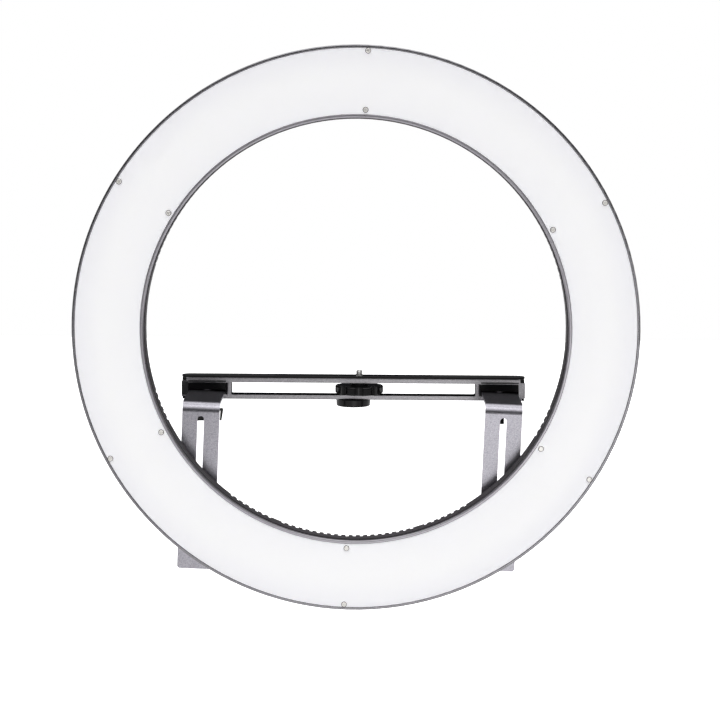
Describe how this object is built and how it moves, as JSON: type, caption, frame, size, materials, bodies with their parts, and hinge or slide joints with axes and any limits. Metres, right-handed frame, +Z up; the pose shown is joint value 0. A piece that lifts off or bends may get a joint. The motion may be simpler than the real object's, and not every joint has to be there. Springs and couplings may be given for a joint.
{
  "type": "led ring light",
  "caption": "Round LED ring light on a slotted camera bracket: two bent arms hold the ring in front of a bar with a sliding camera screw and a stand socket.",
  "frame": {"origin": "centre of the stand socket's mouth, on the flat underside of the adapter disc under the bar", "axes": "+X to the right seen from the front, +Y to the back, away from the lit face, +Z up along the stand"},
  "size_m": [0.5, 0.1327, 0.4999],
  "materials": {
    "rim": "satin",
    "bead": "gloss",
    "diffuser": "matt translucent",
    "nickel_screw": "polished",
    "black_shell": "semi-gloss",
    "white_board": "matt",
    "steel_screw": "satin",
    "led": "matt",
    "black_lead": "matt",
    "zinc_steel": "zinc plated",
    "black_washer": "satin",
    "black_housing": "fine texture",
    "black_panel": "satin",
    "green_board": "satin",
    "dark_glass": "gloss",
    "black_module": "satin",
    "black_dial": "satin",
    "grey_button": "satin",
    "red_rocker": "gloss",
    "black_screw": "black oxide",
    "grey_coat": "sandy powder coat",
    "black_cap": "satin",
    "black_rubber": "matt",
    "black_adapter": "satin",
    "brass_insert": "turned",
    "black_knob": "satin"
  },
  "bodies": {
    "bracket": {"bracket_bar": "grey_coat", "end_cap_left": "black_cap", "end_cap_right": "black_cap", "top_pad": "black_rubber", "stand_adapter": "black_adapter", "adapter_insert": "brass_insert", "adapter_screws": "black_screw", "arm_left": "grey_coat", "arm_right": "grey_coat", "flange_pads": "black_rubber", "clamp_nuts": "zinc_steel"},
    "camera_slide": {"slide_bush": "black_washer", "knob_washer": "black_washer"},
    "camera_knob": {"star_knob": "black_knob", "camera_screw": "zinc_steel"},
    "left_arm_clamp": {"arm_knob_left": "black_knob", "arm_screw_left": "zinc_steel"},
    "right_arm_clamp": {"arm_knob_right": "black_knob", "arm_screw_right": "zinc_steel"},
    "ring_head": {"outer_rim": "rim", "inner_rim": "bead", "diffuser": "diffuser", "outer_face_screws": "nickel_screw", "inner_face_screws": "nickel_screw", "rear_shell": "black_shell", "wall_rivet": "nickel_screw", "led_board": "white_board", "board_screws": "steel_screw", "leds": "led", "power_lead": "black_lead", "clamp_blocks": "zinc_steel", "ring_washers": "black_washer", "control_housing": "black_housing", "control_panel": "black_panel", "control_board": "green_board", "display_window": "dark_glass", "display_module": "black_module", "dial_pots": "zinc_steel", "key_switch": "black_module", "power_housing": "black_housing", "power_panel": "black_panel", "power_board": "green_board", "board_parts": "black_module", "switch_bezel": "black_module", "power_inlet": "black_module", "housing_screws": "black_screw"},
    "left_ring_clamp": {"ring_knob_left": "black_knob", "ring_screw_left": "zinc_steel"},
    "right_ring_clamp": {"ring_knob_right": "black_knob", "ring_screw_right": "zinc_steel"},
    "dimmer": {"dimmer_dial": "black_dial", "dimmer_shaft": "zinc_steel"},
    "colour": {"colour_dial": "black_dial", "colour_shaft": "zinc_steel"},
    "button": {"mode_button": "grey_button"},
    "rocker": {"power_rocker": "red_rocker"}
  },
  "joints": [
    {"name": "camera_slide_x", "type": "slide", "parent": "bracket", "child": "camera_slide", "axis": [1, 0, 0], "range_m": [-0.075, 0.064]},
    {"name": "camera_knob_turn", "type": "hinge", "parent": "camera_slide", "child": "camera_knob", "pos_m": [0.0054, 0, 0.015], "axis": [0, 0, 1], "continuous": true},
    {"name": "left_arm_clamp_turn", "type": "hinge", "parent": "bracket", "child": "left_arm_clamp", "pos_m": [-0.1356, 0, 0], "axis": [0, 0, 1], "continuous": true},
    {"name": "right_arm_clamp_turn", "type": "hinge", "parent": "bracket", "child": "right_arm_clamp", "pos_m": [0.1356, 0, 0], "axis": [0, 0, 1], "continuous": true},
    {"name": "ring_height", "type": "slide", "parent": "bracket", "child": "ring_head", "axis": [0.0366, 0, 0.9993], "range_m": [-0.029, 0.076]},
    {"name": "left_ring_clamp_turn", "type": "hinge", "parent": "ring_head", "child": "left_ring_clamp", "pos_m": [-0.13899, -0.0694, -0.08152], "axis": [0, 1, 0], "continuous": true},
    {"name": "right_ring_clamp_turn", "type": "hinge", "parent": "ring_head", "child": "right_ring_clamp", "pos_m": [0.13184, -0.0694, -0.09145], "axis": [0, 1, 0], "continuous": true},
    {"name": "dimmer_turn", "type": "hinge", "parent": "ring_head", "child": "dimmer", "pos_m": [0.21788, -0.0594, 0.05844], "axis": [0, 1, 0], "range_deg": [-150, 150]},
    {"name": "colour_turn", "type": "hinge", "parent": "ring_head", "child": "colour", "pos_m": [0.21682, -0.0594, 0.02946], "axis": [0, 1, 0], "range_deg": [-150, 150]},
    {"name": "button_press", "type": "slide", "parent": "ring_head", "child": "button", "axis": [0, -1, 0], "range_m": [0, 0.0008], "stiffness_N_per_m": 600, "springref_m": -0.001},
    {"name": "rocker_tip", "type": "hinge", "parent": "ring_head", "child": "rocker", "pos_m": [-0.21247, -0.0642, 0.11125], "axis": [0.9993, 0, -0.0366], "range_deg": [0, 16]}
  ]
}
